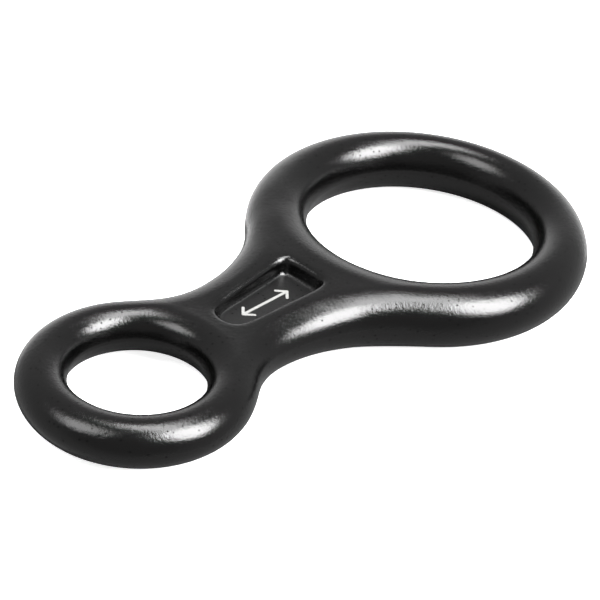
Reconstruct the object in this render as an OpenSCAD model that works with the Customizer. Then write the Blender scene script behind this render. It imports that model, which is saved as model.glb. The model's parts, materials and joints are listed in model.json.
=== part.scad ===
// Figure-eight descender: one forged aluminium body with a large rope eye, a small
// connector eye and a recessed web between them, and a mark printed in the recess.
// +X runs from the small eye to the large eye, +Z is up from the face it lies on,
// and the origin is under the middle of the overall length.

/* [Large ring] */
// Outer radius of the large ring
large_r = 36.4; // [30:0.1:48]
// Radius of the large eye
large_eye_r = 24.2; // [18:0.1:26]
// How far the large eye sits from the ring's centre, away from the neck
large_eye_shift = 1.2; // [0:0.1:2]
// Thickness of the large ring
large_t = 12.8; // [10.6:0.1:15.4]

/* [Small ring] */
// Outer radius of the small ring
small_r = 22.8; // [19:0.1:28]
// Radius of the small eye
small_eye_r = 13.1; // [10:0.1:15]
// How far the small eye sits from the ring's centre, towards the neck
small_eye_shift = 0.2; // [0:0.1:1]
// Thickness of the small ring
small_t = 9.6; // [8:0.1:10.6]

/* [Neck] */
// Distance between the centres of the two rings
ring_distance = 80.8; // [68:0.1:100]
// Distance from the small ring's centre to the narrowest place of the neck
waist_x = 27.7; // [22:0.1:34]
// Width of the neck at its narrowest place
waist_w = 25.6; // [20:0.1:31]
// Length over which the neck thins down towards the small ring
taper_length = 26; // [20:0.5:34]
// Distance from the large ring's centre to where the taper starts
taper_start = 31.6; // [28:0.1:34]

/* [Edges] */
// How much larger each edge radius is than half the thickness there
edge_margin = 0.2; // [0.1:0.05:0.5]
// Height of the straight trimmed land inside each eye
eye_land = 2; // [1:0.1:3]

/* [Recess] */
// Thickness of the web left between the two recess floors
web_t = 5.4; // [4:0.1:7]
// Length of the recess
recess_length = 23.8; // [18:0.1:28]
// Width of the recess at the large ring's end
recess_w = 12; // [9:0.1:14]
// Width of the recess at the small ring's end
recess_end_w = 7.4; // [5:0.1:9]
// Radius of the bowed wall at the small ring's end
recess_bow_r = 9; // [6:0.1:14]
// Distance from the large ring's centre to the recess
recess_start = 35; // [33:0.1:40]

/* [Mark] */
// Overall length of the load arrow
mark_length = 13; // [9:0.1:15]
// Height of the arrow's heads
mark_height = 3.8; // [2.5:0.1:4.5]
// Width of the printed stroke
mark_stroke = 0.6; // [0.4:0.05:0.8]
// Thickness of the printed layer
mark_t = 0.08; // [0.05:0.01:0.2]
// Distance from the recess's large end to the arrow's tip
mark_inset = 5; // [3:0.1:8]

/* [Hidden] */
$fn = 96;

large_h = large_t / 2;
small_h = small_t / 2;
overall_length = large_r + ring_distance + small_r;
large_x = overall_length / 2 - large_r;
small_x = large_x - ring_distance;

// The neck's outline is two arcs a side that meet at the waist, each tangent to its ring
waist_h = waist_w / 2;
neck_x = small_x + waist_x;
small_arc_r = (pow(waist_x, 2) + pow(waist_h, 2) - pow(small_r, 2)) / (2 * (small_r - waist_h));
large_run = ring_distance - waist_x;
large_arc_r = (pow(large_run, 2) + pow(waist_h, 2) - pow(large_r, 2)) / (2 * (large_r - waist_h));
small_arc_y = waist_h + small_arc_r;
large_arc_y = waist_h + large_arc_r;
// Angle at each ring's centre, from the neck's axis to the place where its arc starts
small_tangent = atan2(small_arc_y, waist_x);
large_tangent = atan2(large_arc_y, large_run);

large_edge_r = large_h + edge_margin;
small_edge_r = small_h + edge_margin;
large_eye_edge_r = large_h - eye_land / 2 + edge_margin;
small_eye_edge_r = small_h - eye_land / 2 + edge_margin;
// How much larger each neck arc is cut than a tangent arc, so that it crosses its ring cleanly
arc_overlap = 0.15;
// Spare stock around the outline, and above and below it, that the edge cuts take away
spare = 2;

taper_top_x = large_x - taper_start;
taper_low_x = taper_top_x - taper_length;
recess_x = large_x - recess_start;
recess_end_x = recess_x - recess_length;
floor_h = web_t / 2;

// Plan outline with the spare stock left on
module stock_outline() {
    translate([large_x, 0]) circle(large_r + spare);
    translate([small_x, 0]) circle(small_r + spare);
    difference() {
        polygon([
            [small_x, -small_r], [large_x, -large_r],
            [large_x, large_r], [small_x, small_r]
        ]);
        for (side = [-1, 1]) {
            translate([neck_x, side * large_arc_y]) circle(large_arc_r - spare);
            translate([neck_x, side * small_arc_y]) circle(small_arc_r - spare);
        }
    }
}

// Side outline: full thickness at the large ring, thinning along the neck
module side_outline() {
    low = small_x - small_r - 2 * spare;
    high = large_x + large_r + 2 * spare;
    polygon([
        [low, -small_h], [taper_low_x, -small_h], [taper_top_x, -large_h], [high, -large_h],
        [high, large_h], [taper_top_x, large_h], [taper_low_x, small_h], [low, small_h]
    ]);
}

// Half section of what is cut off around a ring, whose edge is an arc
module ring_edge_cut(ring_r, edge_r) {
    difference() {
        translate([ring_r - edge_r, -large_t]) square([edge_r + 2 * spare, 2 * large_t]);
        translate([ring_r - edge_r, 0]) circle(edge_r);
    }
}

// Half section of what is cut off inside a neck arc, whose centre lies outside the body
module neck_edge_cut(arc_r, edge_r) {
    difference() {
        translate([arc_r - 2 * spare, -large_t]) square([edge_r + 2 * spare, 2 * large_t]);
        translate([arc_r + edge_r, 0]) circle(edge_r);
    }
}

// Half section of an eye: a straight land with a rounded mouth above and below
module eye_cut(eye_r, edge_r) {
    difference() {
        translate([0, -large_t]) square([eye_r + edge_r, 2 * large_t]);
        for (side = [-1, 1])
            translate([eye_r + edge_r, side * eye_land / 2]) circle(edge_r);
        translate([eye_r, -eye_land / 2]) square([edge_r, eye_land]);
    }
}

// Plan outline of the recess: a taper that ends in a bowed wall
module recess_outline() {
    bow_x = recess_end_x + recess_bow_r;
    intersection() {
        polygon([
            [recess_end_x - spare, -recess_end_w / 2], [recess_x, -recess_w / 2],
            [recess_x, recess_w / 2], [recess_end_x - spare, recess_end_w / 2]
        ]);
        union() {
            translate([bow_x, 0]) circle(recess_bow_r);
            translate([bow_x, -recess_w]) square([recess_length, 2 * recess_w]);
        }
    }
}

// A straight printed stroke from one point to another, with round ends
module stroke(from, to) {
    run = to - from;
    translate(from) circle(d = mark_stroke);
    translate(to) circle(d = mark_stroke);
    translate(from) rotate(atan2(run.y, run.x)) translate([0, -mark_stroke / 2]) square([norm(run), mark_stroke]);
}

// The flat forging before its edges are rounded: two eyes and a recess in each face
module pierced_stock() {
    difference() {
        intersection() {
            linear_extrude(large_t, center = true) stock_outline();
            rotate([90, 0, 0]) linear_extrude(4 * large_r, center = true) side_outline();
        }
        translate([large_x + large_eye_shift, 0, 0]) rotate_extrude() eye_cut(large_eye_r, large_eye_edge_r);
        translate([small_x + small_eye_shift, 0, 0]) rotate_extrude() eye_cut(small_eye_r, small_eye_edge_r);
        for (side = [0, 1]) mirror([0, 0, side])
            translate([0, 0, floor_h]) linear_extrude(large_h) recess_outline();
    }
}

// Rounds the edge around each ring, as far as the neck
module ringed_stock() {
    difference() {
        pierced_stock();
        translate([large_x, 0, 0]) rotate(large_tangent - 180)
            rotate_extrude(angle = 360 - 2 * large_tangent) ring_edge_cut(large_r, large_edge_r);
        translate([small_x, 0, 0]) rotate(small_tangent)
            rotate_extrude(angle = 360 - 2 * small_tangent) ring_edge_cut(small_r, small_edge_r);
    }
}

// Rounds one edge of the neck on what it is given: the large arc as far as the waist, then the small one
module neck_edge(side) {
    difference() {
        difference() {
            children();
            mirror([0, side, 0]) translate([neck_x, large_arc_y + arc_overlap, 0]) rotate(-90)
                rotate_extrude(angle = 180) neck_edge_cut(large_arc_r + arc_overlap, large_edge_r);
        }
        mirror([0, side, 0]) translate([neck_x, small_arc_y + arc_overlap, 0]) rotate(90)
            rotate_extrude(angle = 180) neck_edge_cut(small_arc_r + arc_overlap, small_edge_r);
    }
}

// The finished forging, lying on the large ring's flat
module figure_eight_body() {
    color("#1c1c1e") translate([0, 0, large_h])
        neck_edge(1) neck_edge(0) ringed_stock();
}

// Load arrow: a shaft along the neck with an open head at each end
module load_mark() {
    tip_x = recess_x - mark_inset - mark_stroke / 2;
    tail_x = tip_x - mark_length + mark_stroke;
    barb = (mark_height - mark_stroke) / 2;
    color("white") translate([0, 0, large_h + floor_h]) linear_extrude(mark_t) union() {
        stroke([tail_x, 0], [tip_x, 0]);
        for (side = [-1, 1]) {
            stroke([tip_x, 0], [tip_x - barb, side * barb]);
            stroke([tail_x, 0], [tail_x + barb, side * barb]);
        }
    }
}

figure_eight_body();
load_mark();
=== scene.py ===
# %% [markdown]
# # A figure-eight descender
# The object is one forged piece of aluminium, anodised black: a large ring that the
# rope runs through, a small ring for the connector, and a thinner neck between them
# with a shallow recess in each face. The lesson keeps the measured model as a fixed
# frame, puts a smooth mesh in the place of its body and gives it a real finish.

# %% Load the frame
import json
import math

import bmesh
import bpy
from mathutils import Matrix, Vector

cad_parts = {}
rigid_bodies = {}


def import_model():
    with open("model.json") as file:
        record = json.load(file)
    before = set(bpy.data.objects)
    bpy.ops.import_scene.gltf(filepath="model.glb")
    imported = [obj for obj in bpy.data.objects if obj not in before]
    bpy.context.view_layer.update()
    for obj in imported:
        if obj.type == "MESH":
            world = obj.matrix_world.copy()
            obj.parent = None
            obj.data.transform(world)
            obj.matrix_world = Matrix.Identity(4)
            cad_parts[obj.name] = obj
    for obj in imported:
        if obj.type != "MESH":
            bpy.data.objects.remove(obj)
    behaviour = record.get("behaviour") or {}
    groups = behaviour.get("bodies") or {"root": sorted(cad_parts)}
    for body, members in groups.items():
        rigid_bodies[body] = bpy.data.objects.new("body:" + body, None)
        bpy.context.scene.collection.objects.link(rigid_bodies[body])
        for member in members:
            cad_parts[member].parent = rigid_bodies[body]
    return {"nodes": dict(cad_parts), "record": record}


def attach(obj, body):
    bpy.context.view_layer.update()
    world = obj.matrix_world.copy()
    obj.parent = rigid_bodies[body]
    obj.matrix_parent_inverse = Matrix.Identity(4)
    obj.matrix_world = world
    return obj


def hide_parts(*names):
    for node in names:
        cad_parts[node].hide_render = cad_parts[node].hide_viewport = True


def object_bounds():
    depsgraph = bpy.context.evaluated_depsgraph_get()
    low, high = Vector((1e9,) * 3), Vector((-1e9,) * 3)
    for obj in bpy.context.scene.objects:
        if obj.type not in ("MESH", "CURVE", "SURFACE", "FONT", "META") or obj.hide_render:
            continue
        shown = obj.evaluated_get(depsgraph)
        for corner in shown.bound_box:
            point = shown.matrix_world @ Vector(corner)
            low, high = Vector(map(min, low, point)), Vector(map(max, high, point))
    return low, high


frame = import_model()
cad_box = [list(corner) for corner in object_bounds()]
print("frame box in metres:", cad_box)


# %% [markdown]
# ## Sizes
# The eyes' places and radii come from the record and the outer size from the box, so
# the mesh follows the frame. Lengths are written in millimetres, as a maker would say
# them, and one function turns them to Blender's metres.

# %% Sizes
def mm(*lengths):
    """Millimetres as Blender's metres: one number, or a vector of three"""
    if len(lengths) == 1:
        return lengths[0] / 1000
    return Vector(lengths) / 1000


mounts = {mount["name"]: mount for mount in frame["record"]["mounts"]}
low, high = ([1000 * value for value in corner] for corner in cad_box)
MIDDLE = (low[2] + high[2]) / 2
print("the middle plane's height:", round(MIDDLE, 3), "mm")

# %% The two rings
# neck_side is the way from the ring's middle to the neck along X. The small ring's
# radius and thickness and the waist's place and width repeat the measured model's.
LARGE = {
    "outer": high[1],
    "eye": mounts["large_eye"]["dims"]["r_mm"],
    "eye_x": mounts["large_eye"]["pos_m"][0] * 1000,
    "half": high[2] / 2,
    "segments": 34,
    "neck_side": -1,
}
SMALL = {
    "outer": 22.8,
    "eye": mounts["small_eye"]["dims"]["r_mm"],
    "eye_x": mounts["small_eye"]["pos_m"][0] * 1000,
    "half": 4.8,
    "segments": 28,
    "neck_side": 1,
}
LARGE["x"] = high[0] - LARGE["outer"]
SMALL["x"] = low[0] + SMALL["outer"]
WAIST_X, WAIST_HALF = SMALL["x"] + 27.7, 12.8
for ring in (LARGE, SMALL):
    print("ring at x", round(ring["x"], 2), "outer", round(ring["outer"], 2), "eye", ring["eye"])


# %% [markdown]
# ## Camera
# A small product is best seen from well back through a long lens, which keeps the two
# rings in proportion. The camera stands on the small ring's side, about 35 degrees up,
# and is tilted a few degrees about its own axis, so the object lies diagonally.

# %% Camera
CAMERA_PLACE = mm(-260.8, -215.3, 236.15)
CAMERA_TARGET = mm(-3.78, -1.18, 6.4)
CAMERA_ROLL = math.radians(6.18)


def aim(place, target, roll=0.0):
    """Rotation that looks from a place to a target, turned about the line of sight"""
    back = (place - target).normalized()
    right = (-back).cross(Vector((0, 0, 1))).normalized()
    up = right.cross(-back)
    turned = Matrix((right, up, back)).transposed() @ Matrix.Rotation(roll, 3, "Z")
    return turned.to_euler()


camera_data = bpy.data.cameras.new("camera")
camera_data.lens, camera_data.sensor_width = 121.7, 36
camera = bpy.data.objects.new("camera", camera_data)
camera.location = CAMERA_PLACE
camera.rotation_euler = aim(CAMERA_PLACE, CAMERA_TARGET, CAMERA_ROLL)
bpy.context.collection.objects.link(camera)
bpy.context.scene.camera = camera
print("camera at", camera.location)


# %% [markdown]
# ## Selecting by place
# Every operator acts on what is selected, so each step first deselects everything and
# then selects by place. Scaling a selection to zero about a point lines it up there,
# which is how a modeller sets an exact height.

# %% Select objects
def only(*pieces):
    """Leaves edit mode and selects these objects and nothing else"""
    if bpy.context.object and bpy.context.object.mode != "OBJECT":
        bpy.ops.object.mode_set(mode="OBJECT")
    bpy.ops.object.select_all(action="DESELECT")
    for piece in pieces:
        piece.select_set(True)
    if pieces:
        bpy.context.view_layer.objects.active = pieces[0]


def edit(piece):
    """Opens a piece in edit mode with nothing selected"""
    only(piece)
    bpy.ops.object.mode_set(mode="EDIT")
    bpy.ops.mesh.select_mode(type="VERT")
    bpy.ops.mesh.select_all(action="DESELECT")


only()
print("objects selected:", len(bpy.context.selected_objects))

# %% Select parts of a mesh
MODES = {"verts": "VERT", "edges": "EDGE", "faces": "FACE"}


def cage(piece):
    """The edit-mode mesh"""
    return bmesh.from_edit_mesh(piece.data)


def middle_of(element, kind):
    """The middle of a vert, an edge or a face, in millimetres"""
    if kind == "verts":
        middle = element.co
    elif kind == "edges":
        middle = (element.verts[0].co + element.verts[1].co) / 2
    else:
        middle = element.calc_center_median()
    return middle * 1000


def pick(piece, test, kind="verts"):
    """Selects the verts, edges or faces whose middle passes a test, and counts them"""
    mesh = cage(piece)
    bpy.ops.mesh.select_mode(type=MODES[kind])
    bpy.ops.mesh.select_all(action="DESELECT")
    found = [element for element in getattr(mesh, kind) if test(*middle_of(element, kind))]
    for element in found:
        element.select_set(True)
    mesh.select_flush_mode()
    bmesh.update_edit_mesh(piece.data)
    return len(found)


def level(axis, value):
    """Lines up the selection at one length, width or height by scaling it to zero"""
    scale, pivot = [1, 1, 1], [0, 0, 0]
    scale[axis], pivot[axis] = 0, mm(value)
    bpy.ops.transform.resize(value=scale, center_override=pivot)


print("selects:", ", ".join(MODES))


# %% [markdown]
# ## Ring cages
# The object is the same on both sides of its length and of its thickness, so only a
# quarter is modelled and then mirrored. Each ring starts as a torus with eight faces
# around its bar. It could be spun from a circle, but a torus is the same cage in one
# step. Subdivision pulls a curved cage inwards, so the torus is made larger by the
# known share of that pull.

# %% Ring cages
BAR_FACES = 8


def pull(faces):
    """The share of its radius that a round cage keeps when it is subdivided"""
    return (2 + math.cos(2 * math.pi / faces)) / 3


BAR_PULL = pull(BAR_FACES)


def ring_cage(name, ring):
    """A torus with a ring's inner and outer radius, flattened to its thickness"""
    ring["pull"] = pull(ring["segments"])
    ring["crest"] = (ring["outer"] + ring["eye"]) / 2 / ring["pull"]
    ring["bar"] = (ring["outer"] - ring["eye"]) / 2 / ring["pull"] / BAR_PULL
    only()
    bpy.ops.mesh.primitive_torus_add(
        major_segments=ring["segments"], minor_segments=BAR_FACES,
        major_radius=mm(ring["crest"]), minor_radius=mm(ring["bar"]), location=mm(ring["x"], 0, 0))
    piece = bpy.context.object
    piece.name = name
    bpy.ops.object.transform_apply(location=True)
    edit(piece)
    bpy.ops.mesh.select_all(action="SELECT")
    flatten = ring["half"] / BAR_PULL / ring["bar"]
    bpy.ops.transform.resize(value=(1, 1, flatten), center_override=(0, 0, 0))
    return piece


large_ring = ring_cage("descender_body", LARGE)
small_ring = ring_cage("small_ring", SMALL)
RINGS = ((large_ring, LARGE), (small_ring, SMALL))
only()
print("ring cages:", [len(piece.data.polygons) for piece, ring in RINGS], "faces")


# %% [markdown]
# ## Eyes off centre
# The bar of a real figure-eight is widest beside the neck, where the load goes. So each
# eye is moved off its ring's centre: the inner side of the cage by the whole shift, and
# its crest by half. Then everything but the upper quarter on one side is deleted.

# %% Eyes off centre
TINY = 0.01  # closer than this, two places are the same one
CLEAR = 1  # further than this from a row, a place belongs to the next one
CREST_SHARE = 0.9  # of the cage's half thickness: only the crest's points are higher


def reach(x, y, middle_x):
    """Distance in plan from a place on the middle line"""
    return math.hypot(x - middle_x, y)


def crest_from(ring):
    """The height that only the crest's points are above"""
    return CREST_SHARE * ring["half"] / BAR_PULL


for piece, ring in RINGS:
    shift = ring["eye_x"] - ring["x"]
    ring["crest_x"] = ring["x"] + shift / 2
    edit(piece)
    pick(piece, lambda x, y, z: reach(x, y, ring["x"]) < ring["crest"] - CLEAR)
    bpy.ops.transform.translate(value=mm(shift, 0, 0))
    pick(piece, lambda x, y, z: abs(z) > crest_from(ring))
    bpy.ops.transform.translate(value=mm(shift / 2, 0, 0))
    pick(piece, lambda x, y, z: y < -TINY or z < -TINY)
    bpy.ops.mesh.delete(type="VERT")
    print(piece.name, "eye moved by", round(shift, 2), "mm,", len(cage(piece).faces), "faces left")


# %% [markdown]
# ## Eye walls
# A forged ring is trimmed where the two dies meet, which leaves a narrow straight land
# in the eye. A bevel after smoothing would crowd the faces there, so the cage gets one
# more row with a light crease instead, and the rows beside it are set where subdivision
# will round them off to the true bar.

# %% Eye wall helpers
LAND = 0.8
LAND_CREASE = 0.4
ROW_REACH = 0.02  # how near a point must be to a row's place to belong to it


def counter_pull(wanted, before, after):
    """The cage's value that subdivision brings to a wanted one, between its neighbours"""
    return (6 * wanted - before - after) / 4


def set_row(piece, ring, old, new):
    """Moves one row of the bar: old and new are distances from the eye and heights"""
    def in_row(x, y, z):
        return abs(z - old[1]) < ROW_REACH and abs(reach(x, y, ring["eye_x"]) - old[0]) < ROW_REACH

    found = pick(piece, in_row)
    scale = new[0] / old[0]
    bpy.ops.transform.resize(value=(scale, scale, 1), center_override=mm(ring["eye_x"], 0, 0))
    level(2, new[1])
    return found


print("a 10 mm row between rows at 8 and 11 mm is set at", counter_pull(10, 8, 11), "mm")

# %% Eye walls
SLANT = math.sqrt(0.5)  # how far along and up the bar's slanted rows are


def shape_eye(piece, ring):
    """Sets the rows of the bar's inner side"""
    crest_high = ring["half"] / BAR_PULL
    eye = ring["eye"] / ring["pull"]
    eye_row = ring["crest"] - ring["bar"]
    slant_row = ring["crest"] - ring["bar"] * SLANT, crest_high * SLANT
    inner_reach = (ring["eye"] + ring["bar"] * BAR_PULL * (1 - SLANT)) / ring["pull"]
    inner_high = LAND / 2 + (ring["half"] - LAND / 2) * SLANT
    inner = (counter_pull(inner_reach, eye, ring["crest"]),
             counter_pull(inner_high, LAND / 2, crest_high))
    set_row(piece, ring, slant_row, inner)

    def below_inner(x, y, z):
        return TINY < z < inner[1] - TINY and reach(x, y, ring["eye_x"]) < inner[0]

    pick(piece, below_inner, "edges")
    bpy.ops.mesh.subdivide(number_cuts=1)
    found = set_row(piece, ring, ((eye_row + inner[0]) / 2, inner[1] / 2), (eye, LAND / 2))
    set_row(piece, ring, (eye_row, 0), (eye, 0))
    pick(piece, lambda x, y, z: abs(z - LAND / 2) < TINY, "edges")
    bpy.ops.transform.edge_crease(value=LAND_CREASE)
    pick(piece, lambda x, y, z: z > crest_from(ring))
    level(2, counter_pull(ring["half"], inner[1], slant_row[1]))
    return found


for piece, ring in RINGS:
    edit(piece)
    print(piece.name, "land row:", shape_eye(piece, ring), "points")


# %% [markdown]
# ## Open the rings
# The neck will grow out of each ring's outer side, so a few faces are deleted there,
# the same number of steps around on both rings.

# %% Open the rings
OPEN_STEPS = 4


def turn(x, y, ring, middle_x):
    """Angle in plan between a place and the neck, seen from the middle line"""
    return abs(math.atan2(y, ring["neck_side"] * (x - middle_x)))


for piece, ring in RINGS:
    ring["step"] = 2 * math.pi / ring["segments"]

    def opening(x, y, z):
        outside = reach(x, y, ring["x"]) > ring["crest"] + CLEAR
        return outside and turn(x, y, ring, ring["x"]) < OPEN_STEPS * ring["step"]

    edit(piece)
    print(piece.name, "faces deleted:", pick(piece, opening, "faces"))
    bpy.ops.mesh.delete(type="FACE")
only()


# %% [markdown]
# ## Neck outline
# Each side of the neck is two arcs that meet at the waist, each tangent to its ring, and
# its thickness falls evenly to the small ring's. The recess narrows the same way. They
# could be traced by eye, but as functions of the length they agree at every station.

# %% Neck outline
TAPER_FROM, TAPER_TO = 2.0, -24.0
RECESS_FROM, RECESS_TO = -1.4, -25.2
RECESS_WIDE, RECESS_NARROW = 6.0, 3.7
RIM_LAND = 1.0  # from the recess to the cage's line around it


def share(x, start, end):
    """How far x has come from start to end, from 0 to 1"""
    return min(1, max(0, (x - start) / (end - start)))


def half_width(x):
    """Half the neck's width, from the arc that is tangent to the nearer ring"""
    ring = LARGE if x > WAIST_X else SMALL
    run = ring["x"] - WAIST_X
    arc = (run ** 2 + WAIST_HALF ** 2 - ring["outer"] ** 2) / (2 * (ring["outer"] - WAIST_HALF))
    return WAIST_HALF + arc - math.sqrt(arc ** 2 - (x - WAIST_X) ** 2)


def half_thickness(x):
    """Half the neck's thickness"""
    return LARGE["half"] + (SMALL["half"] - LARGE["half"]) * share(x, TAPER_FROM, TAPER_TO)


def recess_half(x):
    """Half the recess's width"""
    return RECESS_WIDE + (RECESS_NARROW - RECESS_WIDE) * share(x, RECESS_FROM, RECESS_TO)


waist = 2 * half_width(WAIST_X), 2 * half_thickness(WAIST_X)
print("waist:", [round(size, 2) for size in waist], "mm wide and thick")


# %% [markdown]
# ## Neck
# In the forging the neck and the rings are one skin, so the neck isn't a separate block
# cut into them, which would leave a seam. The large ring's open edge is extruded along
# the object station by station, and each of its seven points is pulled to its place.
# The stations are close at the ends of the recess, where the surface turns most. A last
# bridge joins the small ring.

# %% Open edge
SAME_STEP = 0.3  # within this share of a step, a point belongs to that step


def open_edge(piece, ring):
    """Selects a ring quarter's open edge, where the neck joins it"""
    cut_turn = OPEN_STEPS * ring["step"]

    def on_edge(x, y, z):
        turned, far = turn(x, y, ring, ring["x"]), reach(x, y, ring["x"])
        before_cut = turned < cut_turn + 0.4 * ring["step"]
        on_crest = z > crest_from(ring) and before_cut and abs(far - ring["crest"]) < 2 * CLEAR
        on_cut = (ring["crest"] + CLEAR < far < ring["outer"] + 2 * CLEAR
                  and abs(turned - cut_turn) < SAME_STEP * ring["step"])
        return on_crest or on_cut

    pick(piece, on_edge)
    mesh = cage(piece)
    bpy.ops.mesh.select_mode(type="EDGE")
    for edge in mesh.edges:
        if edge.select and not edge.is_boundary:
            edge.select_set(False)
    bmesh.update_edit_mesh(piece.data)
    return sum(edge.select for edge in mesh.edges)


edit(large_ring)
print("open edge of the large ring:", open_edge(large_ring, LARGE), "edges")

# %% Stations
# Each station's places along X: on the middle line, at the recess's rim and at the side
STATIONS = [
    (1.6, 2.3, 4.2),
    (-0.4, -0.4, -0.6),
    (-3.2, -3.2, -4.0),
    (-8.0, -8.0, -8.8),
    (-13.2, -13.2, -13.2),
    (-18.6, -18.6, -18.2),
    (-23.0, -22.4, -22.4),
    (-26.2, -25.3, -26.0),
    (-27.8, -27.6, -29.6),
]
ROUND_SHARE = 0.46  # the side's round takes at most this share of the half width
SHOULDER = 0.78  # how far out and how high the point halfway round the side is
INSIDE_RIM = 2.4  # from the rim to the next point towards the middle line
WEB_PUSH = 0.2  # the point between rim and side is this far past halfway


def station_places(middle_x, rim_x, side_x):
    """Where a station's seven points go, from the middle line over the rim to the side"""
    width, thick = half_width(side_x), half_thickness(middle_x)
    side_round = min(thick, ROUND_SHARE * width)
    flat = width - side_round
    rim = recess_half(rim_x) + RIM_LAND
    over = 1 / BAR_PULL
    return [
        (middle_x, 0, thick),
        ((middle_x + rim_x) / 2, rim - INSIDE_RIM, thick),
        (rim_x, rim, thick),
        ((rim_x + side_x) / 2, (rim + flat) / 2 + WEB_PUSH, thick),
        (side_x, flat, thick),
        (side_x, flat + SHOULDER * side_round, SHOULDER * thick),
        (side_x, flat + over * side_round, 0),
    ]


print(len(STATIONS), "stations of", len(station_places(*STATIONS[0])), "points")

# %% Pull a station
def selected_points(piece):
    """The selected verts' numbers in order from the middle line to the side"""
    mesh = cage(piece)
    mesh.verts.index_update()
    chosen = sorted((v for v in mesh.verts if v.select), key=lambda v: (v.co.y, -v.co.z))
    return [v.index for v in chosen]


def select_points(piece, points):
    """Selects the verts with these numbers and nothing else, and gives their mesh"""
    mesh = cage(piece)
    mesh.verts.ensure_lookup_table()
    bpy.ops.mesh.select_all(action="DESELECT")
    for index in points:
        mesh.verts[index].select_set(True)
    mesh.select_mode = {"VERT"}
    mesh.select_flush_mode()
    bmesh.update_edit_mesh(piece.data)
    return mesh


def pull_station(piece, station):
    """Extrudes the open edge once more and pulls its points to their station"""
    bpy.ops.mesh.select_mode(type="EDGE")
    bpy.ops.mesh.extrude_edges_move(TRANSFORM_OT_translate={"value": mm(-1, 0, 0)})
    bpy.ops.mesh.select_mode(type="VERT")
    points = selected_points(piece)
    for index, place in zip(points, station_places(*station)):
        mesh = select_points(piece, [index])
        bpy.ops.transform.translate(value=mm(*place) - mesh.verts[index].co)
    select_points(piece, points)


for station in STATIONS:
    pull_station(large_ring, station)
print("large ring with the neck:", len(cage(large_ring).faces), "faces")

# %% Join and bridge
only(large_ring, small_ring)
bpy.ops.object.join()
body = large_ring
edit(body)
open_edge(body, SMALL)
neck_end = STATIONS[-1][2] - CLEAR / 2, STATIONS[-1][0] + CLEAR / 2
mesh = cage(body)
for edge in mesh.edges:
    ends = [v.co * 1000 for v in edge.verts]
    on_end = all(neck_end[0] < end.x < neck_end[1] for end in ends)
    on_seam = any(all(abs(end[axis]) < TINY for end in ends) for axis in (1, 2))
    if edge.is_boundary and on_end and not on_seam:
        edge.select_set(True)
bmesh.update_edit_mesh(body.data)
bpy.ops.mesh.bridge_edge_loops()
print("body quarter:", len(cage(body).faces), "faces")


# %% [markdown]
# ## The rings' crests beside the neck
# Where the neck's flat web meets a ring's crest, the cage's crest would stand too high,
# because the web doesn't fall away as the ring's outer side does. It is eased down, a
# point at a time, from the middle line to where the opening ends.

# %% Ease the crests
EASES = (0.94, 0.94, 0.933, 0.93, 0.97)

for ring in (LARGE, SMALL):
    found = []
    for place, ease in enumerate(EASES):
        def on_crest(x, y, z):
            off_turn = abs(turn(x, y, ring, ring["crest_x"]) - place * ring["step"])
            off_crest = abs(reach(x, y, ring["crest_x"]) - ring["crest"])
            on_place = off_turn < SAME_STEP * ring["step"] and off_crest < CLEAR / 2
            return z > crest_from(ring) and on_place

        found.append(pick(body, on_crest))
        bpy.ops.transform.resize(value=(1, 1, ease), center_override=(0, 0, 0))
    print("crest points eased:", found)


# %% [markdown]
# ## Mirror across the length
# The quarter becomes a half: the upper face with both sides, still open below.

# %% Mirror across
def mirror(piece, axis):
    """Mirrors a piece about the origin on one axis and merges the seam"""
    only(piece)
    modifier = piece.modifiers.new("mirror", "MIRROR")
    modifier.use_axis = [index == axis for index in range(3)]
    modifier.use_clip = True
    modifier.merge_threshold = mm(0.005)
    bpy.ops.object.modifier_apply(modifier=modifier.name)


mirror(body, 1)
print("upper half:", len(body.data.polygons), "faces")


# %% [markdown]
# ## Recess
# The recess is pressed into the web by the forging die, whose corners are rounded so
# that the metal flows. A boolean cut would leave them sharp. Instead the cage's corners
# are pulled in, and the faces are inset again and again with more depth each time:
# three loops make a soft lip, and two more give the fillet around the floor.

# %% Recess corners
WEB_HIGH = 3.5  # the web's upper face is everywhere higher than this
CORNER_SQUEEZE = 0.84
LARGE_END, SMALL_END = STATIONS[1][0], STATIONS[-2][1]


def in_recess(x, y, z):
    """Whether a face of the web lies where the recess is sunk"""
    return (z > WEB_HIGH and abs(y) < recess_half(x) + RIM_LAND / 2
            and STATIONS[-2][0] < x < LARGE_END)


def ease_corners(corner_x, pulled):
    """Pulls in the two corners at one end of the recess"""
    def at_corner(x, y, z):
        return (z > WEB_HIGH and abs(x - corner_x) < TINY
                and abs(abs(y) - recess_half(x) - RIM_LAND) < TINY)

    found = pick(body, at_corner)
    bpy.ops.transform.translate(value=mm(pulled, 0, 0))
    bpy.ops.transform.resize(value=(1, CORNER_SQUEEZE, 1), center_override=(0, 0, 0))
    return found


edit(body)
print("recess corners:", ease_corners(LARGE_END, -1.0), "and", ease_corners(SMALL_END, 0.9))

# %% Sink the recess
FLOOR_HIGH = 2.7
FILLET_HIGH = 0.8
LIP = ((0.8, 0.3), (0.45, 0.9), (0.2, 0))  # insets and depths from the outside inwards
FILLET_WIDE, FLOOR_HOLD = 0.5, 0.6


def sink(inset, depth):
    """Insets the selected faces and moves them down"""
    bpy.ops.mesh.inset(thickness=mm(inset), use_even_offset=True)
    bpy.ops.transform.translate(value=mm(0, 0, -depth))


print("recess faces:", pick(body, in_recess, "faces"))
for inset, depth in LIP:
    sink(inset, depth)
level(2, FLOOR_HIGH + FILLET_HIGH)
sink(FILLET_WIDE, 0)
level(2, FLOOR_HIGH)
sink(FLOOR_HOLD, 0)

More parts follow.
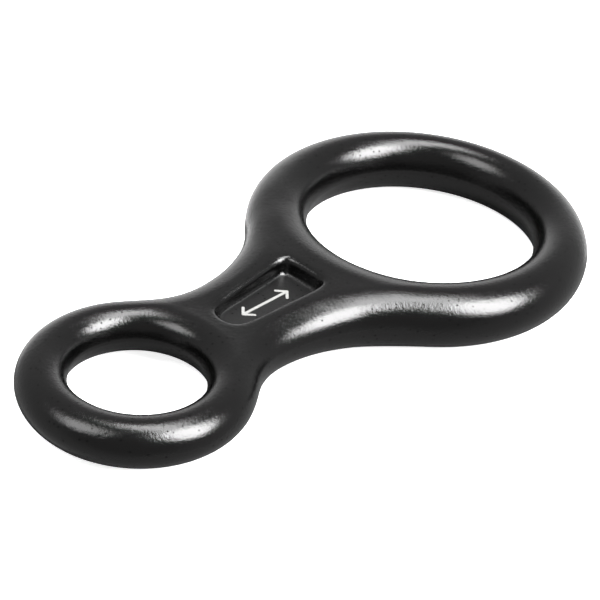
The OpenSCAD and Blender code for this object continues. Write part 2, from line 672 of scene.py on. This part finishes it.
# %% Mark the recess's floor for its own finish
bpy.ops.mesh.select_more()
bpy.ops.object.material_slot_add()
bpy.ops.object.material_slot_add()
body.active_material_index = 1
bpy.ops.object.material_slot_assign()
print("faces with the floor's finish:", sum(face.select for face in cage(body).faces))


# %% [markdown]
# ## Mirror below
# The lower face is the same as the upper one, recess and all, so the half is mirrored
# once more and the cage is closed.

# %% Mirror below
mirror(body, 2)
print("whole cage:", len(body.data.polygons), "faces")


# %% [markdown]
# ## Smooth the body
# Subdivision Surface turns the cage into the even curves of a forging that was tumbled
# smooth before anodising. Three levels are enough for its highlights to run unbroken.
# The middle plane is lifted to its height last, and that place is applied to the mesh.

# %% Smooth the body
only(body)
smooth = body.modifiers.new("smooth", "SUBSURF")
smooth.levels = smooth.render_levels = 3
bpy.ops.object.modifier_apply(modifier=smooth.name)
edit(body)
bpy.ops.mesh.select_all(action="SELECT")
bpy.ops.mesh.remove_doubles(threshold=mm(0.002))
bpy.ops.mesh.normals_make_consistent(inside=False)
bpy.ops.object.mode_set(mode="OBJECT")
bpy.ops.object.shade_smooth()
body.location = mm(0, 0, MIDDLE)
bpy.ops.object.transform_apply(location=True)
size = [round(1000 * length, 2) for length in body.dimensions]
print("body:", len(body.data.polygons), "faces,", size, "mm")

# %% Give the body its place in the frame
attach(body, "root")
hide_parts("figure_eight_body")
print(body.name, "stands for figure_eight_body")


# %% [markdown]
# ## Colours and nodes
# Colours are written as sRGB hex, as a colour picker shows them, and shaders want
# linear light, so one function converts them. A second one adds a shader node with its
# settings and links.

# %% Colours and nodes
def linear(hex_colour):
    """An sRGB hex colour as linear RGBA"""
    channels = [int(hex_colour[i:i + 2], 16) / 255 for i in (1, 3, 5)]
    return [c / 12.92 if c <= 0.04045 else ((c + 0.055) / 1.055) ** 2.4 for c in channels] + [1]


def add(owner, kind, settings=None, **sockets):
    """Adds a node to a material or world: settings are its properties, and sockets are
    values or links, by their names or, as i0 and i1, by their numbers"""
    node = owner.node_tree.nodes.new(kind)
    for name, value in (settings or {}).items():
        setattr(node, name, value)
    for name, value in sockets.items():
        numbered = name[0] == "i" and name[1:].isdigit()
        socket = node.inputs[int(name[1:]) if numbered else name.replace("_", " ")]
        if isinstance(value, bpy.types.NodeSocket):
            owner.node_tree.links.new(value, socket)
        else:
            socket.default_value = value
    return node


def new_material(name):
    """An empty node material"""
    material = bpy.data.materials.new(name)
    material.use_nodes = True
    material.node_tree.nodes.clear()
    return material


def finish_material(material, shader):
    """Joins a shader to the material's output"""
    add(material, "ShaderNodeOutputMaterial", Surface=shader.outputs[0])
    return material


print("middle grey in linear light:", [round(c, 3) for c in linear("#808080")])


# %% [markdown]
# ## Black anodised aluminium
# The forging is tumbled, etched and anodised, and its porous oxide is dyed black and
# sealed. The oxide is clear and glassy over the dye, so it is a dielectric gloss over a
# near-black ground, not a mirror metal. Handling leaves patches that are a little more
# or less glossy. The tumbling stones left a slow waviness and hardly reached into the
# recess, so the same finish is rougher on its floor.

# %% Black anodised aluminium
def anodised(name, gloss, wave_depth, grain_depth):
    """The dyed oxide: gloss is its range of roughness, and the depths are in mm"""
    material = new_material(name)
    place = add(material, "ShaderNodeTexCoord").outputs["Object"]
    # Patches of handling about 9 mm across
    handling = add(material, "ShaderNodeTexNoise",
                   Vector=place, Scale=1 / mm(9), Detail=4.0, Roughness=0.55)
    roughness = add(material, "ShaderNodeMapRange", Value=handling.outputs["Fac"],
                    From_Min=0.3, From_Max=0.7, To_Min=gloss[0], To_Max=gloss[1])
    # Waves about 5 mm long from the tumbling
    waves = add(material, "ShaderNodeTexNoise",
                Vector=place, Scale=1 / mm(5), Detail=2.0, Roughness=0.5)
    wave_bump = add(material, "ShaderNodeBump", Height=waves.outputs["Fac"],
                    Strength=1.0, Distance=mm(wave_depth))
    # The etched grain is finer than 0.1 mm, so it is drawn at 0.55 mm to show
    grain = add(material, "ShaderNodeTexNoise",
                Vector=place, Scale=1 / mm(0.55), Detail=3.0, Roughness=0.7)
    grain_bump = add(material, "ShaderNodeBump", Height=grain.outputs["Fac"],
                     Strength=1.0, Distance=mm(grain_depth), Normal=wave_bump.outputs["Normal"])
    # Pores in the oxide swallow the gloss. They are drawn as dots half a millimetre
    # across every 1.4 mm, larger and sparser than real ones, so that they show too
    pores = add(material, "ShaderNodeTexVoronoi", Vector=place, Scale=1 / mm(1.4))
    shine = add(material, "ShaderNodeMapRange", {"interpolation_type": "SMOOTHSTEP"},
                Value=pores.outputs["Distance"],
                From_Min=0.06, From_Max=0.2, To_Min=0.12, To_Max=0.5)
    shader = add(material, "ShaderNodeBsdfPrincipled", Base_Color=linear("#030303"), IOR=1.5,
                 Roughness=roughness.outputs["Result"],
                 Specular_IOR_Level=shine.outputs["Result"],
                 Normal=grain_bump.outputs["Normal"])
    return finish_material(material, shader)


tumbled = anodised("black_anodised_tumbled_aluminium", (0.12, 0.17), 0.05, 0.055)
as_forged = anodised("black_anodised_forged_aluminium", (0.34, 0.42), 0.03, 0.04)
body.material_slots[0].material = tumbled
body.material_slots[1].material = as_forged
print("finishes:", [slot.material.name for slot in body.material_slots])


# %% [markdown]
# ## White marking ink
# The mark is pad printed in the recess: a matt white ink, thin enough to take a little
# of the ground's grain. It could be painted in the body's material, but the measured
# model has it as a layer of its own, so that layer gets the ink.

# %% White marking ink
ink = new_material("white_pad_printed_ink")
place = add(ink, "ShaderNodeTexCoord").outputs["Object"]
# The ink's cover varies every 0.4 mm, as the ground's grain is drawn
cover = add(ink, "ShaderNodeTexNoise", Vector=place, Scale=1 / mm(0.4), Detail=3.0)
tone = add(ink, "ShaderNodeMix", {"data_type": "RGBA"}, Factor=cover.outputs["Fac"],
           i6=linear("#6f6f6d"), i7=linear("#979795"))
ink_bump = add(ink, "ShaderNodeBump", Height=cover.outputs["Fac"],
               Strength=0.3, Distance=mm(0.02))
ink_shader = add(ink, "ShaderNodeBsdfPrincipled", Base_Color=tone.outputs[2],
                 Roughness=0.55, IOR=1.5, Normal=ink_bump.outputs["Normal"])
finish_material(ink, ink_shader)
mark = frame["nodes"]["load_mark"]
mark.data.materials.clear()
mark.data.materials.append(ink)
print("ink on", mark.name)


# %% [markdown]
# ## Floor
# The object lies on white paper that is lit to pure white and left out of the
# reflections, so that it doesn't grey the black. Below it lies a grey sheet of
# painted shadow, as large as the object and seen only in reflections: it stands for
# the object's own shadow on the paper, and keeps the walls inside the eyes dark.

# %% Floor
def sheet(name, long, wide, height, colour, own_light):
    """A flat sheet below the object, with its sizes in mm: white paper, or grey painted shadow"""
    paper = new_material(name + "_paper")
    matt = add(paper, "ShaderNodeBsdfPrincipled", Base_Color=linear(colour), Roughness=0.9,
               Emission_Color=linear("#ffffff"), Emission_Strength=own_light)
    finish_material(paper, matt)
    only()
    bpy.ops.mesh.primitive_plane_add(size=1, location=mm(0, 0, height))
    plane = bpy.context.object
    plane.name = name
    plane.scale = mm(long, wide, 1000)
    bpy.ops.object.transform_apply(location=False)
    plane.data.materials.append(paper)
    return plane


floor = sheet("floor", 4000, 4000, -0.15, "#f2f2f2", 0.8)
floor.visible_glossy = floor.visible_diffuse = floor.visible_shadow = False
# The grey sheet is painted shadow: hidden from the camera, it darkens the reflections under the
# object
painted_shadow_sheet = sheet("reflection_card", high[0] - low[0], high[1] - low[1], -0.3, "#5a5a5a", 0.0)
painted_shadow_sheet.visible_camera = False
print("sheets:", floor.dimensions, painted_shadow_sheet.dimensions)


# %% [markdown]
# ## Softboxes
# A glossy black object shows its surroundings more than itself, so the studio is laid
# out as what it should mirror: a tall bright softbox to the right of the viewer, a
# weaker one to the left and a small one overhead. Each is given by where the object
# sees it and how large it looks from there.

# %% Softboxes
LAMP_AWAY = 900


def direction(heading, height):
    """The direction of a heading and a height in degrees, as a vector"""
    heading, height = math.radians(heading), math.radians(height)
    return Vector((math.cos(height) * math.cos(heading),
                   math.cos(height) * math.sin(heading), math.sin(height)))


def softbox(name, heading, height, wide, tall, glow, shape="RECTANGLE"):
    """A softbox at a heading and height, as wide and tall as this, all in degrees"""
    light = bpy.data.lights.new(name, "AREA")
    light.shape = shape
    light.size = mm(2 * LAMP_AWAY) * math.tan(math.radians(wide / 2))
    light.size_y = mm(2 * LAMP_AWAY) * math.tan(math.radians(tall / 2))
    light.energy = glow * math.pi * light.size * light.size_y
    lamp = bpy.data.objects.new(name, light)
    lamp.location = mm(LAMP_AWAY) * direction(heading, height)
    lamp.rotation_euler = aim(lamp.location, Vector((0, 0, 0)))
    bpy.context.collection.objects.link(lamp)
    size = [round(length, 2) for length in (light.size, light.size_y)]
    print(name, size, "m,", round(light.energy, 1), "W")


softbox("right_softbox", -76, 46, 37, 51, 18.5, "ELLIPSE")
softbox("left_softbox", 163, 50, 32, 36, 4.5, "ELLIPSE")
softbox("top_softbox", -5, 80, 34, 18, 12)


# %% [markdown]
# ## Room
# The rest of the room is a dim even grey. Low behind the object it glows, as a white
# sweep does, and gives the far edges their thin light rim. On the viewer's side it is
# darker, so that the near sides stay black.

# %% Room
ROOM_LIGHT = 0.46
room = bpy.data.worlds.new("grey_room")
bpy.context.scene.world = room
room.use_nodes = True
look = add(room, "ShaderNodeTexCoord").outputs["Generated"]


def patch(heading, height, wide, amount):
    """A soft round patch of the room, brighter or darker than the rest, in degrees"""
    near = add(room, "ShaderNodeVectorMath", {"operation": "DOT_PRODUCT"},
               i0=look, i1=tuple(direction(heading, height)))
    edge, middle = math.cos(math.radians(wide)), math.cos(math.radians(wide / 2))
    fade = add(room, "ShaderNodeMapRange", {"interpolation_type": "SMOOTHSTEP"},
               Value=near.outputs["Value"], From_Min=edge, From_Max=middle,
               To_Min=0.0, To_Max=amount)
    return fade.outputs["Result"]


sweep_glow = patch(40, -12, 44, 0.9)
dark_side = patch(220, 30, 70, -0.17)
glow = add(room, "ShaderNodeMath", {"operation": "ADD"}, i0=sweep_glow, i1=ROOM_LIGHT)
glow = add(room, "ShaderNodeMath", {"operation": "ADD"}, i0=glow.outputs["Value"], i1=dark_side)
backdrop = room.node_tree.nodes["Background"]
backdrop.inputs["Color"].default_value = linear("#ffffff")
room.node_tree.links.new(glow.outputs["Value"], backdrop.inputs["Strength"])
bpy.context.scene.view_settings.view_transform = "Standard"
print("room:", room.name, "with", len(room.node_tree.nodes), "nodes")
